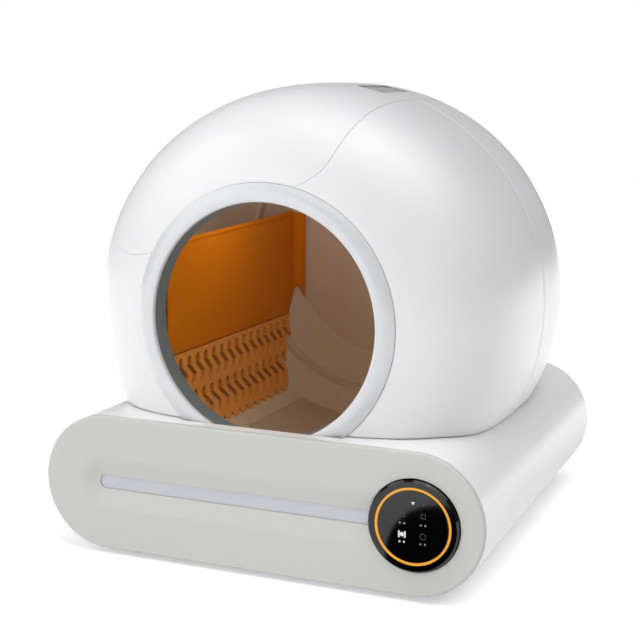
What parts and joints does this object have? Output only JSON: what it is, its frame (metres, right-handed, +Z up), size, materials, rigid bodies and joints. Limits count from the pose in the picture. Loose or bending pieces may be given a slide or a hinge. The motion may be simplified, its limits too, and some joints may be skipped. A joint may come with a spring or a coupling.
{
  "type": "self cleaning litter box",
  "caption": "Ball-shaped litter chamber with a round front entry on a low rounded base, with a pull-out waste drawer behind a grey front and a round display.",
  "frame": {"origin": "on the ground under the middle of the base", "axes": "+X to the right as seen from the front, +Y from the entry to the back, +Z up"},
  "size_m": [0.52, 0.529, 0.5317],
  "materials": {
    "shell_white": "smooth satin",
    "base_white": "smooth satin",
    "panel_grey": "fine matt moulding",
    "grip_grey": "fine matt moulding",
    "strip_lavender": "fine matt moulding",
    "tunnel_grey": "soft matt",
    "drum_tan": "fine matt moulding",
    "liner_tan": "soft silicone",
    "sieve_orange": "fine matt moulding",
    "gear_nylon": "natural nylon",
    "tray_grey": "fine matt moulding",
    "frame_grey": "fine matt moulding",
    "display_black": "polished",
    "display_glass": "polished",
    "light_amber": "translucent light guide",
    "rubber_dark": "matt",
    "steel": "turned",
    "zinc": "plated",
    "board_green": "solder mask",
    "inlet_black": "moulded"
  },
  "bodies": {
    "base": {"base_housing": "base_white", "bottom_plate": "frame_grey", "bottom_screws": "zinc", "rubber_feet": "rubber_dark", "load_cells": "steel", "rear_cover": "panel_grey", "rear_screws": "zinc", "power_inlet": "inlet_black", "front_frame": "frame_grey", "drawer_rails": "gear_nylon", "control_board": "board_green", "shell_plinth": "tunnel_grey", "front_shell_left": "shell_white", "front_shell_right": "shell_white", "rear_shell": "shell_white", "entry_ring": "shell_white", "entry_tunnel": "tunnel_grey", "gear_motor": "steel", "motor_bracket": "zinc", "roller_axles": "steel", "roller_brackets": "gear_nylon", "cradle": "frame_grey", "display_pod": "display_black", "display_lens": "display_glass", "light_ring": "light_amber", "display_board": "board_green"},
    "drum": {"drum_front": "drum_tan", "drum_rear": "drum_tan", "drum_liner": "liner_tan", "divider": "sieve_orange", "sieve": "sieve_orange", "ring_gear": "gear_nylon"},
    "pinion": {"drive_pinion": "gear_nylon", "motor_shaft": "steel"},
    "roller_1": {"support_roller_1": "gear_nylon"},
    "roller_2": {"support_roller_2": "gear_nylon"},
    "roller_3": {"support_roller_3": "gear_nylon"},
    "roller_4": {"support_roller_4": "gear_nylon"},
    "drawer": {"drawer_front": "panel_grey", "drawer_strip": "strip_lavender", "drawer_tray": "tray_grey", "bag_frame": "tray_grey"},
    "top_cover": {"top_cover": "shell_white", "grip_pocket": "grip_grey", "grip_pin": "steel"},
    "grip_flap": {"grip_flap": "grip_grey"}
  },
  "joints": [
    {"name": "drum_turn", "type": "hinge", "parent": "base", "child": "drum", "pos_m": [0, 0, 0.306], "axis": [0, 1, 0], "continuous": true},
    {"name": "pinion_turn", "type": "hinge", "parent": "base", "child": "pinion", "pos_m": [0.11135, 0, 0.11314], "axis": [0, 1, 0], "continuous": true},
    {"name": "roller_turn_1", "type": "hinge", "parent": "base", "child": "roller_1", "pos_m": [-0.11886, -0.0681, 0.11578], "axis": [0, 1, 0], "continuous": true},
    {"name": "roller_turn_2", "type": "hinge", "parent": "base", "child": "roller_2", "pos_m": [-0.11886, 0.077, 0.11578], "axis": [0, 1, 0], "continuous": true},
    {"name": "roller_turn_3", "type": "hinge", "parent": "base", "child": "roller_3", "pos_m": [0.11886, -0.0681, 0.11578], "axis": [0, 1, 0], "continuous": true},
    {"name": "roller_turn_4", "type": "hinge", "parent": "base", "child": "roller_4", "pos_m": [0.11886, 0.077, 0.11578], "axis": [0, 1, 0], "continuous": true},
    {"name": "drawer_slide", "type": "slide", "parent": "base", "child": "drawer", "axis": [0, -1, 0], "range_m": [0, 0.34]},
    {"name": "cover_lift", "type": "slide", "parent": "base", "child": "top_cover", "axis": [-0.4091, 0, 0.9125], "range_m": [0, 0.2]},
    {"name": "grip_turn", "type": "hinge", "parent": "top_cover", "child": "grip_flap", "pos_m": [0.0544, 0.0322, 0.52138], "axis": [-0.9763, 0, 0.2164], "range_deg": [0, 75]}
  ],
  "couplings": [
    {"joint": "pinion_turn", "follows": "drum_turn", "ratio": -6.4167},
    {"joint": "roller_turn_1", "follows": "drum_turn", "ratio": -17.667},
    {"joint": "roller_turn_2", "follows": "drum_turn", "ratio": -17.667},
    {"joint": "roller_turn_3", "follows": "drum_turn", "ratio": -17.667},
    {"joint": "roller_turn_4", "follows": "drum_turn", "ratio": -17.667}
  ]
}
